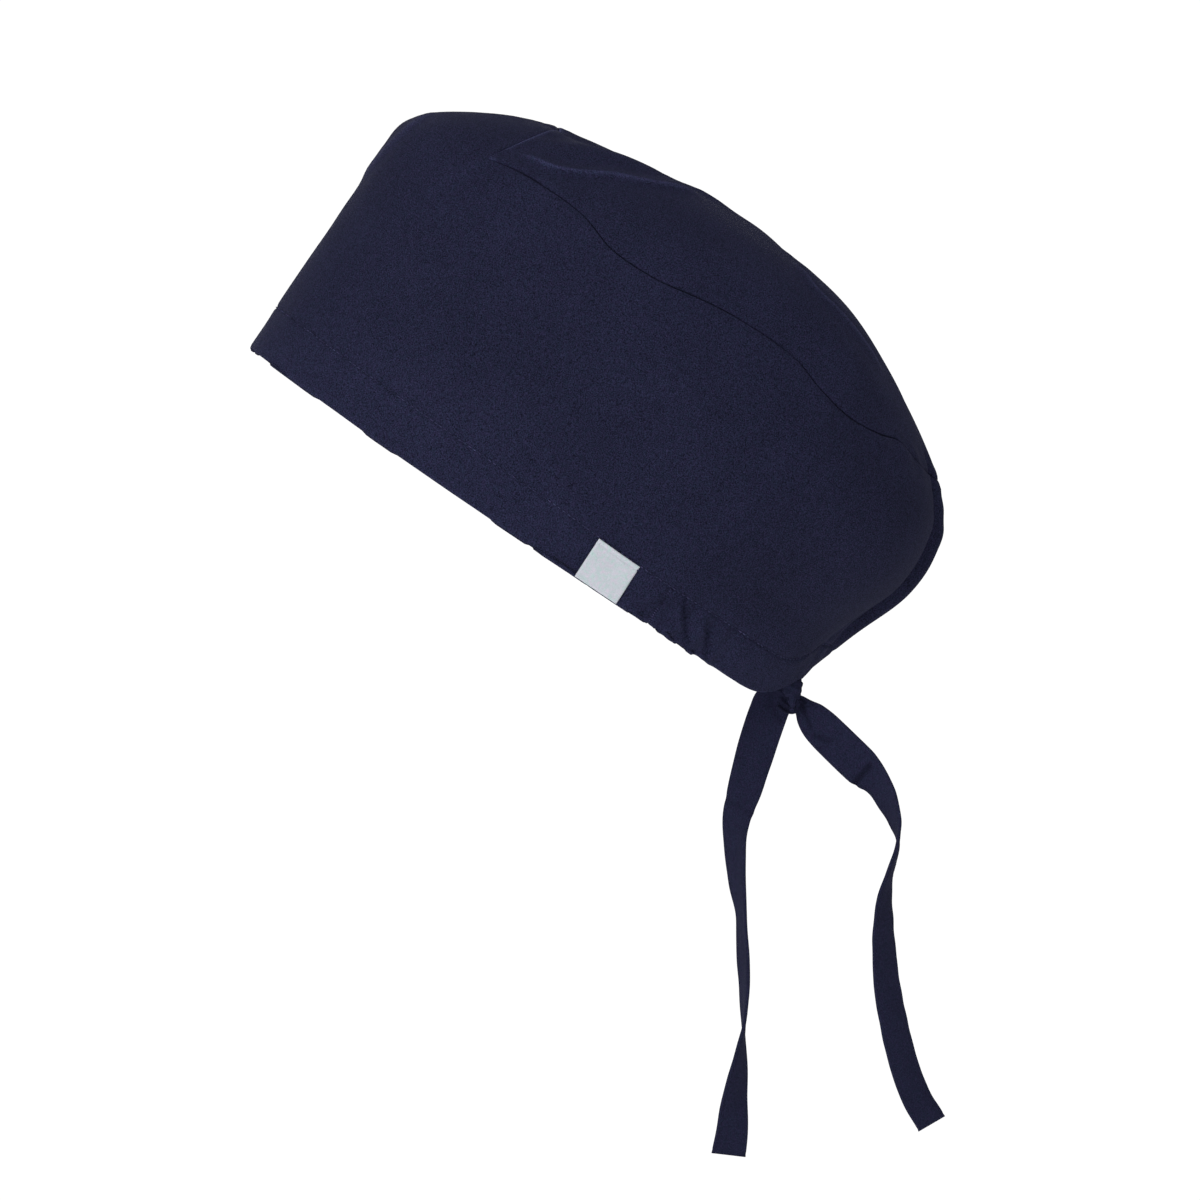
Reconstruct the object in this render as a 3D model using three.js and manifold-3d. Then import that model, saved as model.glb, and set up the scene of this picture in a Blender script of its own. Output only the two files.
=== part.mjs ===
// A tie-back scrub cap, held in the form it has on a head, with its two ties hanging.
// Millimetres, +Z up. The forehead is at -Y, the nape at +Y and the wearer's left at +X.
// The origin is the seat on the inside of the crown where the top of the head bears.
//
// The cloth is drawn in the cap's own frame, which the rim lies in: x to the wearer's left,
// s backwards along the rim from the forehead, and h square to the rim. Going round the cap,
// turn is 0 at the forehead and a half turn at the nape. Going up it, ring is 0 at the rim
// and SPINE_RING on the middle line of the crown.
import * as THREE from "three";
import Module from "manifold-3d";
import { mergeVertices } from "three/addons/utils/BufferGeometryUtils.js";

// The cap
const CAP_LENGTH = 240; // forehead to the back of the crown
const CAP_HALF_WIDTH = 80; // middle line to the side
const CAP_HEIGHT = 132; // rim to the top of the crown
const RIM_TILT = THREE.MathUtils.degToRad(33.7); // the rim falls this much towards the nape
const SEAT_SHARE = 0.46; // how far back the head bears, as a share of the cap's length
const CLOTH = 1.2; // a panel's wall
const SEAM_GAP = 0.5; // clearance where two pieces are sewn together

// The hem, turned up inside as a casing for the tie
const HEM_HEIGHT = 16.8;
const HEM_CLOTH = 1;
const MOUTH_HEIGHT = 14; // how far the rim arches up at the nape, where the ties come out
const MOUTH_HALF_WIDTH = 15;

// The gathers that the tie draws in the casing, behind its bar tacks
const GATHER_START = 168; // along s
const GATHER_END = 202;
const GATHER_COUNT = 4;
const GATHER_DEPTH = 0.8;
const GATHER_REACH = 30; // how far up the band they fade out

// The centre back, where the band's ends are sewn together in a fold
const FOLD_DEPTH = 7;
const FOLD_HALF_WIDTH = 3.6;
const LEFT_SHORTER = 5; // the left half stands this much less far back than the right

// The label on the rim
const LABEL_START = 138.4; // along s
const LABEL_WIDTH = 17.2;
const LABEL_HEIGHT = 16.6;
const LABEL_CLOTH = 0.8;

// The ties and their knot
const TIE_WIDTH = 13.7;
const TIE_CLOTH = 1.2;
const TIE_DROP = 160; // knot to the longer tie's end
const KNOT_WIDTH = 9;
const KNOT_DEPTH = 6.4;
const KNOT_HEIGHT = 11.4;
const KNOT_AHEAD = 2; // the knot's middle, from the top of the casing's mouth
const KNOT_BELOW = 5.9;
const KNOT_LEAN = 0.8; // the knot's bulk stands this much ahead of its neck
const KNOT_NECK = 3; // thickness of the two ties side by side in the casing's mouth

// How finely the cloth is faceted
const FRONT_COLUMNS = 21; // forehead to the first gather, on each side
const BACK_COLUMNS = 32; // first gather to the nape
const HEM_ROWS = 2;
const BAND_ROWS = 6; // above the hem
const CROWN_ROWS = 10;
const STRAP_COLUMNS = 3;
const STRAP_ROWS = 38;

const SPINE_RING = 8;
const WIDEST = 0.53; // the widest place of a ring, as a share of its length

// The rings from the rim to the spine, where they cross the forehead, the side and the nape.
// s is a share of the cap's length, x of its half width and h of its height. The last two
// columns say how square the ring is in front and behind: 2 is an ellipse.
const RINGS = [
  { ring: 0, frontS: -0.001, frontH: -0.012, sideX: 0.96, sideH: -0.036, backS: 0.918, backH: -0.036, front: 2.25, back: 1.72 },
  { ring: 1, frontS: -0.002, frontH: 0.25, sideX: 0.99, sideH: 0.2, backS: 0.962, backH: 0.22, front: 2.25, back: 2.05 },
  { ring: 2, frontS: -0.001, frontH: 0.47, sideX: 0.995, sideH: 0.42, backS: 1, backH: 0.415, front: 2.25, back: 2.25 },
  { ring: 3, frontS: -0.003, frontH: 0.636, sideX: 0.97, sideH: 0.59, backS: 0.998, backH: 0.565, front: 2.25, back: 2.3 },
  { ring: 4, frontS: 0.009, frontH: 0.734, sideX: 0.92, sideH: 0.7, backS: 0.978, backH: 0.642, front: 2.25, back: 2.2 },
  { ring: 5, frontS: 0.065, frontH: 0.824, sideX: 0.84, sideH: 0.8, backS: 0.945, backH: 0.708, front: 2.2, back: 2.15 },
  { ring: 6, frontS: 0.183, frontH: 0.927, sideX: 0.7, sideH: 0.892, backS: 0.897, backH: 0.774, front: 2.1, back: 2.1 },
  { ring: 7, frontS: 0.3, frontH: 0.978, sideX: 0.44, sideH: 0.962, backS: 0.826, backH: 0.847, front: 2, back: 2 },
  { ring: 8, frontS: 0.42, frontH: 1.01, sideX: 0, sideH: 1.002, backS: 0.73, backH: 0.925, front: 2, back: 2 },
];

// The crown seam along the side: its height waves a little where the two panels pull.
const SIDE_SEAM = [
  { s: 0.1, h: 0.735 },
  { s: 0.18, h: 0.769 },
  { s: 0.24, h: 0.773 },
  { s: 0.3, h: 0.764 },
  { s: 0.36, h: 0.732 },
  { s: 0.43, h: 0.731 },
  { s: 0.5, h: 0.752 },
  { s: 0.57, h: 0.765 },
  { s: 0.67, h: 0.76 },
  { s: 0.72, h: 0.735 },
  { s: 0.79, h: 0.715 },
  { s: 0.85, h: 0.722 },
  { s: 0.88, h: 0.734 },
  { s: 0.92, h: 0.717 },
  { s: 0.96, h: 0.706 },
];
// In front the seam leaves the side at a corner and climbs straight over the crown.
const SEAM_CORNER = { s: 0.128, h: 0.735 };
const SEAM_TOP = { s: 0.186, h: 0.904 };

// The crown's soft folds, each along a line from one place to another: s is a share of the cap's
// length, x and the fold's width are shares of its half width, and lift, which is below zero
// for a valley, of its height.
const FOLDS = [
  { s0: 0.13, x0: 0.1, s1: 0.46, x1: 0.03, width: 0.17, lift: -0.034 },
  { s0: 0.12, x0: 0.62, s1: 0.46, x1: 0.14, width: 0.09, lift: 0.016 },
  { s0: 0.08, x0: -0.3, s1: 0.5, x1: -0.2, width: 0.17, lift: 0.004 },
  { s0: 0.5, x0: 0.04, s1: 0.92, x1: 0.01, width: 0.12, lift: -0.034 },
  { s0: 0.5, x0: 0.2, s1: 0.86, x1: 0.2, width: 0.1, lift: 0.006 },
];

// The ties' middle lines, from the knot: back and down are shares of the drop, and side is a
// share of the tie's width. spread is the share of that width which is laid open, and twist
// turns it out of the cap's middle plane, in degrees.
const LEFT_TIE = [
  { back: -0.031, down: 0.004, side: 0, spread: 0.6, twist: 0 },
  { back: -0.045, down: 0.008, side: 0, spread: 0.95, twist: 0 },
  { back: -0.057, down: 0.032, side: 0, spread: 1, twist: 0 },
  { back: -0.081, down: 0.103, side: 0, spread: 1, twist: 8 },
  { back: -0.096, down: 0.155, side: 0.02, spread: 1, twist: 20 },
  { back: -0.11, down: 0.208, side: 0.04, spread: 1, twist: 30 },
  { back: -0.125, down: 0.26, side: 0.06, spread: 1, twist: 45 },
  { back: -0.13, down: 0.313, side: 0.08, spread: 1, twist: 56 },
  { back: -0.126, down: 0.4, side: 0.1, spread: 1, twist: 66 },
  { back: -0.116, down: 0.483, side: 0.09, spread: 1, twist: 78 },
  { back: -0.111, down: 0.56, side: 0.07, spread: 1, twist: 75 },
  { back: -0.109, down: 0.625, side: 0.04, spread: 1, twist: 77 },
  { back: -0.111, down: 0.69, side: 0.01, spread: 1, twist: 83 },
  { back: -0.114, down: 0.75, side: -0.01, spread: 1, twist: 97 },
  { back: -0.124, down: 0.838, side: -0.04, spread: 1, twist: 121 },
  { back: -0.136, down: 0.943, side: -0.04, spread: 1, twist: 142 },
  { back: -0.144, down: 1.004, side: -0.02, spread: 1, twist: 150 },
];
const RIGHT_TIE = [
  { back: 0.016, down: 0.022, side: 0, spread: 0.5, twist: 0 },
  { back: 0.032, down: 0.04, side: 0, spread: 0.78, twist: 0 },
  { back: 0.054, down: 0.065, side: 0, spread: 0.95, twist: 0 },
  { back: 0.097, down: 0.108, side: 0, spread: 1, twist: 5 },
  { back: 0.145, down: 0.154, side: 0, spread: 1, twist: 11 },
  { back: 0.178, down: 0.184, side: 0.02, spread: 1, twist: 44 },
  { back: 0.2, down: 0.222, side: 0.04, spread: 1, twist: 57 },
  { back: 0.219, down: 0.276, side: 0.04, spread: 1, twist: 75 },
  { back: 0.226, down: 0.311, side: 0.02, spread: 1, twist: 90 },
  { back: 0.221, down: 0.348, side: 0, spread: 1, twist: 95 },
  { back: 0.208, down: 0.392, side: -0.02, spread: 1, twist: 99 },
  { back: 0.198, down: 0.444, side: -0.04, spread: 1, twist: 110 },
  { back: 0.196, down: 0.549, side: -0.06, spread: 1, twist: 125 },
  { back: 0.215, down: 0.707, side: -0.04, spread: 1, twist: 134 },
  { back: 0.261, down: 0.864, side: 0, spread: 1, twist: 139 },
  { back: 0.3, down: 0.935, side: 0.02, spread: 1, twist: 140 },
];

const NAVY = { color: 0x23243a, roughness: 0.92, metalness: 0 };
const GREY = { color: 0xa9adb2, roughness: 0.8, metalness: 0 };

const { clamp, degToRad, lerp, smoothstep } = THREE.MathUtils;

// A table's column at any place along it, as a smooth curve through the rows.
function along(rows, key, at, column) {
  const last = rows.length - 1;
  let i = 0;
  while (i < last - 1 && at > rows[i + 1][key]) i++;
  const slope = (k) => {
    const before = rows[Math.max(k - 1, 0)];
    const after = rows[Math.min(k + 1, last)];
    return (after[column] - before[column]) / (after[key] - before[key]);
  };
  const [a, b] = [rows[i], rows[i + 1]];
  const span = b[key] - a[key];
  const t = clamp((at - a[key]) / span, 0, 1);
  const ease = t * t * (3 - 2 * t);
  const leave = t * (1 - t) * (1 - t) * span * slope(i);
  const arrive = t * t * (t - 1) * span * slope(i + 1);
  return lerp(a[column], b[column], ease) + leave + arrive;
}

// The cloth without its folds: one point of one ring.
function smoothShell(turn, ring) {
  const left = turn <= Math.PI ? 1 : -1;
  const angle = left > 0 ? turn : 2 * Math.PI - turn;
  const of = (column) => along(RINGS, "ring", ring, column);
  const [front, back] = [of("frontS"), of("backS")];
  const widest = lerp(front, back, WIDEST);
  const ahead = angle < Math.PI / 2;
  const square = 2 / of(ahead ? "front" : "back");
  const reach = Math.pow(Math.abs(Math.cos(angle)), square);
  const s = widest + (ahead ? front - widest : back - widest) * reach;
  const endH = of(ahead ? "frontH" : "backH");
  const h = lerp(of("sideH"), endH, Math.cos(angle) ** 2);
  const x = left * of("sideX") * Math.pow(Math.abs(Math.sin(angle)), square);
  return new THREE.Vector3(x * CAP_HALF_WIDTH, s * CAP_LENGTH, h * CAP_HEIGHT);
}

// The centre-back fold draws the cloth in, and the left half stands a little short of the right.
function backFold(p, ring) {
  const behind = smoothstep(p.y, 0.7 * CAP_LENGTH, 0.9 * CAP_LENGTH);
  const level = smoothstep(ring, 0.3, 1.6) * (1 - smoothstep(ring, 4.6, 6.6));
  const crease = Math.exp(-((p.x / FOLD_HALF_WIDTH) ** 2));
  const shorter = smoothstep(p.x, 0, 2 * FOLD_HALF_WIDTH) * smoothstep(ring, 0.2, 1);
  const over = 1 - smoothstep(ring, 5, 7.5);
  return behind * (FOLD_DEPTH * level * crease + LEFT_SHORTER * shorter * over);
}

// How far the crown's folds lift a point.
function foldLift(p, ring) {
  const onCrown = smoothstep(ring, 4.8, 6.4);
  return FOLDS.reduce((sum, fold) => {
    const start = new THREE.Vector2(fold.s0 * CAP_LENGTH, fold.x0 * CAP_HALF_WIDTH);
    const line = new THREE.Vector2(fold.s1 * CAP_LENGTH, fold.x1 * CAP_HALF_WIDTH).sub(start);
    const from = new THREE.Vector2(p.y, p.x).sub(start);
    const t = from.dot(line) / line.lengthSq();
    const off = from.cross(line) / line.length() / (fold.width * CAP_HALF_WIDTH);
    const ends = smoothstep(t, 0, 0.35) * (1 - smoothstep(t, 0.65, 1));
    return sum + onCrown * ends * fold.lift * CAP_HEIGHT * Math.exp(-off * off);
  }, 0);
}

// The casing's puckers, as a push outwards. They run up and down the band.
function gathers(p, rimH) {
  const progress = (p.y - GATHER_START) / (GATHER_END - GATHER_START);
  const within = smoothstep(progress, 0, 0.2) * (1 - smoothstep(progress, 0.6, 1.2));
  const fade = 1 - smoothstep(p.z - rimH, 0, GATHER_REACH);
  return GATHER_DEPTH * within * fade * Math.cos(2 * Math.PI * GATHER_COUNT * progress);
}

// A point of the cap's outside.
function shell(turn, ring) {
  const p = smoothShell(turn, ring);
  const rim = smoothShell(turn, 0);
  const outwards = new THREE.Vector2(p.x, p.y - WIDEST * CAP_LENGTH).normalize();
  const push = gathers(p, rim.z);
  const moved = p.clone();
  moved.x += push * outwards.x;
  moved.y += push * outwards.y - backFold(p, ring);
  moved.z += foldLift(p, ring);
  return moved;
}

// The ring that a stretch of cloth measured up the outside from another ring ends on.
function ringAbove(turn, ring, length) {
  const step = 0.02;
  const rise = smoothShell(turn, ring + step).distanceTo(smoothShell(turn, ring));
  return ring + (length * step) / rise;
}

// The ring that the crown seam follows: the side seam's height, or in front the line over the crown.
function seamRing(turn) {
  const lean = (SEAM_TOP.s - SEAM_CORNER.s) / (SEAM_TOP.h - SEAM_CORNER.h);
  let [low, high] = [3, 7];
  for (let i = 0; i < 30; i++) {
    const middle = (low + high) / 2;
    const p = smoothShell(turn, middle);
    const [s, h] = [p.y / CAP_LENGTH, p.z / CAP_HEIGHT];
    const below = h < along(SIDE_SEAM, "s", s, "h");
    const ahead = s < SEAM_CORNER.s + lean * (h - SEAM_CORNER.h);
    if (below || ahead) low = middle;
    else high = middle;
  }
  return low;
}

// The ring of the rim itself, which arches up at the nape over the casing's mouth.
function rimRing(turn) {
  const x = smoothShell(turn, 0).x;
  const behind = Math.cos(turn) < 0 ? 1 : 0;
  const arch = behind * MOUTH_HEIGHT * Math.exp(-((x / MOUTH_HALF_WIDTH) ** 2));
  return ringAbove(turn, 0, arch);
}

const hemRing = (turn) => ringAbove(turn, rimRing(turn), HEM_HEIGHT);
const lowerSeam = (turn) => ringAbove(turn, seamRing(turn), -SEAM_GAP / 2);
const upperSeam = (turn) => ringAbove(turn, seamRing(turn), SEAM_GAP / 2);

// Where the columns of cloth stand: evenly from the forehead to the gathers, then closer.
function columnTurns() {
  const start = Math.acos(-Math.pow(
    (GATHER_START / CAP_LENGTH - WIDEST * RINGS[0].backS) / ((1 - WIDEST) * RINGS[0].backS),
    RINGS[0].back / 2,
  ));
  const left = [];
  for (let i = 0; i < FRONT_COLUMNS; i++) left.push((start * i) / FRONT_COLUMNS);
  for (let i = 0; i <= BACK_COLUMNS; i++) left.push(lerp(start, Math.PI, i / BACK_COLUMNS));
  const right = left.slice(1, -1).reverse().map((turn) => 2 * Math.PI - turn);
  return [...left, ...right];
}

// A grid of points on the cap, from one edge to another, each given as a ring for a turn.
function capGrid(lower, upper, rows) {
  const turns = columnTurns();
  return Array.from({ length: rows + 1 }, (_, j) =>
    turns.map((turn) => shell(turn, lerp(lower(turn), upper(turn), j / rows))),
  );
}

// The band's outside: its lowest rows are the hem's height.
function bandGrid() {
  const hem = capGrid(rimRing, hemRing, HEM_ROWS);
  return [...hem, ...capGrid(hemRing, lowerSeam, BAND_ROWS).slice(1)];
}

// The triangles of a grid of cloth. loop joins its last column to its first, and spine joins
// the two halves of its top row along the middle.
function gridFaces(grid, { loop, spine }) {
  const count = grid[0].length;
  const top = grid.length - 1;
  const id = (j, i) => {
    const column = i % count;
    const shared = spine && j === top && column > count / 2;
    return j * count + (shared ? count - column : column);
  };
  const faces = [];
  for (let j = 0; j < top; j++) {
    for (let i = 0; i < (loop ? count : count - 1); i++) {
      const [a, b, c, d] = [id(j, i), id(j, i + 1), id(j + 1, i + 1), id(j + 1, i)];
      faces.push([a, b, c], [a, c, d]);
    }
  }
  return faces.filter(([a, b, c]) => a !== b && b !== c && c !== a);
}

// The direction out of the cloth at each point of a grid.
function normals(points, faces) {
  const sums = points.map(() => new THREE.Vector3());
  for (const [a, b, c] of faces) {
    const ab = points[b].clone().sub(points[a]);
    const ac = points[c].clone().sub(points[a]);
    const out = ab.cross(ac);
    for (const k of [a, b, c]) sums[k].add(out);
  }
  return sums.map((sum) => sum.normalize());
}

// The same grid moved along its own normals: outwards if the distance is positive.
function offsetGrid(grid, distance, shape = {}) {
  const faces = gridFaces(grid, shape);
  const out = normals(grid.flat(), faces);
  return grid.map((row, j) =>
    row.map((p, i) => p.clone().addScaledVector(out[j * row.length + i], distance)),
  );
}

// A closed wall of cloth: the grid is its outer face, and its inner face lies behind it.
function clothGeometry(grid, thickness, shape = {}) {
  const outer = gridFaces(grid, shape);
  const points = grid.flat();
  const out = normals(points, outer);
  const behind = points.length;
  const inner = points.map((p, i) => p.clone().addScaledVector(out[i], -thickness));
  const faces = [...outer, ...outer.map(([a, b, c]) => [c + behind, b + behind, a + behind])];
  const used = new Set(outer.flatMap(([a, b, c]) => [`${a} ${b}`, `${b} ${c}`, `${c} ${a}`]));
  for (const edge of used) {
    const [a, b] = edge.split(" ").map(Number);
    if (!used.has(`${b} ${a}`)) faces.push([b, a, a + behind], [b, a + behind, b + behind]);
  }
  const geometry = new THREE.BufferGeometry();
  geometry.setFromPoints([...points, ...inner]);
  geometry.setIndex(faces.flat());
  return shaded(geometry);
}

function shaded(geometry) {
  const flat = geometry.toNonIndexed();
  flat.computeVertexNormals();
  return flat;
}

function node(name, geometry, look) {
  const mesh = new THREE.Mesh(geometry, new THREE.MeshStandardMaterial(look));
  mesh.name = name;
  return mesh;
}

function makeBand() {
  return node("side_band", clothGeometry(bandGrid(), CLOTH, { loop: true }), NAVY);
}

function makeCrown() {
  const grid = capGrid(upperSeam, () => SPINE_RING, CROWN_ROWS);
  return node("crown_panel", clothGeometry(grid, CLOTH, { loop: true, spine: true }), NAVY);
}

// The hem lies inside the band, turned up from the rim.
function makeHem() {
  const within = offsetGrid(bandGrid(), -CLOTH - SEAM_GAP, { loop: true });
  const grid = within.slice(0, HEM_ROWS + 1);
  return node("hem_casing", clothGeometry(grid, HEM_CLOTH, { loop: true }), NAVY);
}

// A point of the cap's left side, a length up the cloth from the rim at a place along s.
function leftSideAt(s, up) {
  let ring = 0;
  let turn = 0;
  for (let i = 0; i < 4; i++) {
    let [low, high] = [0, Math.PI];
    for (let k = 0; k < 24; k++) {
      turn = (low + high) / 2;
      if (smoothShell(turn, ring).y < s) low = turn;
      else high = turn;
    }
    ring = ringAbove(turn, 0, up);
  }
  return shell(turn, ring);
}

function makeLabel() {
  const [columns, rows] = [4, 3];
  const face = Array.from({ length: rows + 1 }, (_, j) =>
    Array.from({ length: columns + 1 }, (_, i) =>
      leftSideAt(LABEL_START + (LABEL_WIDTH * i) / columns, (LABEL_HEIGHT * j) / rows),
    ),
  );
  const grid = offsetGrid(face, SEAM_GAP + LABEL_CLOTH);
  return node("label", clothGeometry(grid, LABEL_CLOTH), GREY);
}

// A tie is a flat strap. Its middle follows the table, and its width lies square to that line.
function makeTie(name, rows) {
  let place = 0;
  const placed = rows.map((row, i) => {
    const before = rows[Math.max(i - 1, 0)];
    place += Math.hypot(row.back - before.back, row.down - before.down);
    return { ...row, place };
  });
  const middleAt = (at) => new THREE.Vector3(
    along(placed, "place", at, "side") * TIE_WIDTH,
    along(placed, "place", at, "back") * TIE_DROP,
    along(placed, "place", at, "down") * -TIE_DROP,
  );
  const grid = Array.from({ length: STRAP_ROWS + 1 }, (_, j) => {
    const at = (place * j) / STRAP_ROWS;
    const step = 0.002;
    const ahead = middleAt(Math.min(at + step, place));
    const course = ahead.sub(middleAt(Math.max(at - step, 0)));
    const level = new THREE.Vector3(0, -course.z, course.y).normalize();
    const twist = degToRad(along(placed, "place", at, "twist"));
    const across = level.multiplyScalar(Math.cos(twist));
    across.x = Math.sin(twist);
    const width = along(placed, "place", at, "spread") * TIE_WIDTH;
    return Array.from({ length: STRAP_COLUMNS + 1 }, (_, i) =>
      middleAt(at).addScaledVector(across, (i / STRAP_COLUMNS - 0.5) * width),
    );
  });
  grid.reverse();
  return node(name, clothGeometry(offsetGrid(grid, TIE_CLOTH / 2), TIE_CLOTH), NAVY);
}

const wasm = await Module();
wasm.setup();

function toSolid(geometry) {
  const bare = geometry.clone();
  bare.deleteAttribute("normal");
  bare.deleteAttribute("uv");
  const merged = mergeVertices(bare, 1e-4);
  const vertProperties = new Float32Array(merged.attributes.position.array);
  const triVerts = new Uint32Array(merged.index.array);
  return new wasm.Manifold(new wasm.Mesh({ numProp: 3, vertProperties, triVerts }));
}

function toGeometry(solid) {
  const mesh = solid.getMesh();
  const geometry = new THREE.BufferGeometry();
  geometry.setAttribute("position", new THREE.BufferAttribute(mesh.vertProperties, 3));
  geometry.setIndex(new THREE.BufferAttribute(mesh.triVerts, 1));
  return shaded(geometry);
}

// The knot: one tie's turn round the other, over the strands that leave it below, with the
// neck that runs into the casing's mouth.
function makeKnot() {
  const strands = new THREE.SphereGeometry(0.5, 14, 10);
  strands.scale(0.8 * KNOT_WIDTH, 0.88 * KNOT_DEPTH, KNOT_HEIGHT);
  const tube = 0.17;
  const turn = new THREE.TorusGeometry(0.5 - tube, tube, 8, 20);
  turn.scale(KNOT_WIDTH, KNOT_DEPTH, 1.5 * KNOT_HEIGHT);
  turn.rotateX(degToRad(-14));
  turn.translate(0, 0, 0.27 * KNOT_HEIGHT);
  const neckLength = KNOT_BELOW;
  const neck = new THREE.BoxGeometry(KNOT_NECK, neckLength, 0.4 * KNOT_HEIGHT);
  neck.translate(0, -neckLength / 2, 0.2 * KNOT_HEIGHT);
  neck.rotateX(-RIM_TILT);
  strands.translate(0, -KNOT_LEAN, 0);
  turn.translate(0, -KNOT_LEAN, 0);
  const solid = toSolid(strands).add(toSolid(turn)).add(toSolid(neck));
  return node("knot", toGeometry(solid), NAVY);
}

const cap = new THREE.Group();
cap.add(makeBand(), makeCrown(), makeHem(), makeLabel());
cap.rotation.x = -RIM_TILT;

const ties = new THREE.Group();
ties.add(makeKnot(), makeTie("left_tie", LEFT_TIE), makeTie("right_tie", RIGHT_TIE));
ties.position.copy(shell(Math.PI, rimRing(Math.PI)).applyEuler(cap.rotation));
ties.position.y -= KNOT_AHEAD;
ties.position.z -= KNOT_BELOW;

// The seat is on the crown's inside, on the middle line.
let [ahead, behind] = [0, Math.PI];
for (let i = 0; i < 30; i++) {
  const middle = (ahead + behind) / 2;
  if (shell(middle, SPINE_RING).y < SEAT_SHARE * CAP_LENGTH) ahead = middle;
  else behind = middle;
}
const seat = shell(ahead, SPINE_RING);
seat.z -= CLOTH;
const scrubCap = new THREE.Group();
scrubCap.add(cap, ties);
scrubCap.position.copy(seat.applyEuler(cap.rotation)).negate();

export default scrubCap;
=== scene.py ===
"""A navy tie-back scrub cap in the form it has on a head, with its ties hanging.

Metres, +Z up. The forehead is at -Y, the nape at +Y and the wearer's left at +X.
The cloth is drawn in the cap's own frame, as in the CAD source: x to the wearer's left, s
backwards along the rim from the forehead, and h square to the rim. Going round the cap, turn
is 0 at the forehead and a half turn at the nape. Going up it, ring is 0 at the rim and
SPINE_RING on the middle line of the crown.
"""
import math

import bpy
import numpy as np
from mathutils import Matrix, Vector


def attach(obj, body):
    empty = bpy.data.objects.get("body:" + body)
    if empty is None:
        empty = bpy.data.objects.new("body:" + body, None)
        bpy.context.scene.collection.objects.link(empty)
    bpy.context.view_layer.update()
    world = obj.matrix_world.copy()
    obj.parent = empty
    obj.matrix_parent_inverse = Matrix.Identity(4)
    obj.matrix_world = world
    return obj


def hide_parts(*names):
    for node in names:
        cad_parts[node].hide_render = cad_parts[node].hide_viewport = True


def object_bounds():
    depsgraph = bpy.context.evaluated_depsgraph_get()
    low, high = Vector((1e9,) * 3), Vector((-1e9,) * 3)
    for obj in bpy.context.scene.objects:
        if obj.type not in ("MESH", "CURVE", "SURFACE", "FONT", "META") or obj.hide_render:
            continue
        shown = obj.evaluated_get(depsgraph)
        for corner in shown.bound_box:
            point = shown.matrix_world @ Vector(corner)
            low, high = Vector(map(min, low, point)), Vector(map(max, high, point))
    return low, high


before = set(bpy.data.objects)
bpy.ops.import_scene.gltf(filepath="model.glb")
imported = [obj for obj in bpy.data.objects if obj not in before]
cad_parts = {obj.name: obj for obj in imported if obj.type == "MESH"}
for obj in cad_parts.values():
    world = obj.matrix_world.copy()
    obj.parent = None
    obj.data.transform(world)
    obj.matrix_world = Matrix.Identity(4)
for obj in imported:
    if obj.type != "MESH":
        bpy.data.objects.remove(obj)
cad_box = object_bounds()

MM = 0.001

# The cap, as in the CAD source
CAP_LENGTH = 240 * MM
CAP_HALF_WIDTH = 80 * MM
CAP_HEIGHT = 132 * MM
RIM_TILT = math.radians(33.7)
SEAT_SHARE = 0.46
CLOTH = 1.2 * MM
HEM_HEIGHT = 16.8 * MM
MOUTH_HEIGHT = 14 * MM
MOUTH_HALF_WIDTH = 15 * MM
GATHER_START = 168 * MM
GATHER_END = 202 * MM
GATHER_COUNT = 4
GATHER_DEPTH = 0.8 * MM
GATHER_REACH = 30 * MM
FOLD_DEPTH = 7 * MM
FOLD_HALF_WIDTH = 3.6 * MM
LEFT_SHORTER = 5 * MM
LABEL_START = 138.4 * MM
LABEL_WIDTH = 17.2 * MM
LABEL_HEIGHT = 16.6 * MM
TIE_WIDTH = 13.7 * MM
TIE_DROP = 160 * MM
KNOT_WIDTH = 9 * MM
KNOT_DEPTH = 6.4 * MM
KNOT_HEIGHT = 11.4 * MM
KNOT_AHEAD = 2 * MM
KNOT_BELOW = 5.9 * MM
KNOT_LEAN = 0.8 * MM
SPINE_RING = 8
WIDEST = 0.53


def table(columns, *rows):
    """A short table: each column's name with its values."""
    return {name: np.array(values, float) for name, values in zip(columns.split(), zip(*rows))}


RINGS = table(
    "ring front_s front_h side_x side_h back_s back_h front back",
    (0, -0.001, -0.012, 0.96, -0.036, 0.918, -0.036, 2.25, 1.72),
    (1, -0.002, 0.25, 0.99, 0.2, 0.962, 0.22, 2.25, 2.05),
    (2, -0.001, 0.47, 0.995, 0.42, 1, 0.415, 2.25, 2.25),
    (3, -0.003, 0.636, 0.97, 0.59, 0.998, 0.565, 2.25, 2.3),
    (4, 0.009, 0.734, 0.92, 0.7, 0.978, 0.642, 2.25, 2.2),
    (5, 0.065, 0.824, 0.84, 0.8, 0.945, 0.708, 2.2, 2.15),
    (6, 0.183, 0.927, 0.7, 0.892, 0.897, 0.774, 2.1, 2.1),
    (7, 0.3, 0.978, 0.44, 0.962, 0.826, 0.847, 2, 2),
    (8, 0.42, 1.01, 0, 1.002, 0.73, 0.925, 2, 2),
)
SIDE_SEAM = table(
    "s h",
    (0.1, 0.735), (0.18, 0.769), (0.24, 0.773), (0.3, 0.764), (0.36, 0.732),
    (0.43, 0.731), (0.5, 0.752), (0.57, 0.765), (0.67, 0.76), (0.72, 0.735),
    (0.79, 0.715), (0.85, 0.722), (0.88, 0.734), (0.92, 0.717), (0.96, 0.706),
)
SEAM_CORNER = {"s": 0.128, "h": 0.735}
SEAM_TOP = {"s": 0.186, "h": 0.904}
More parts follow.
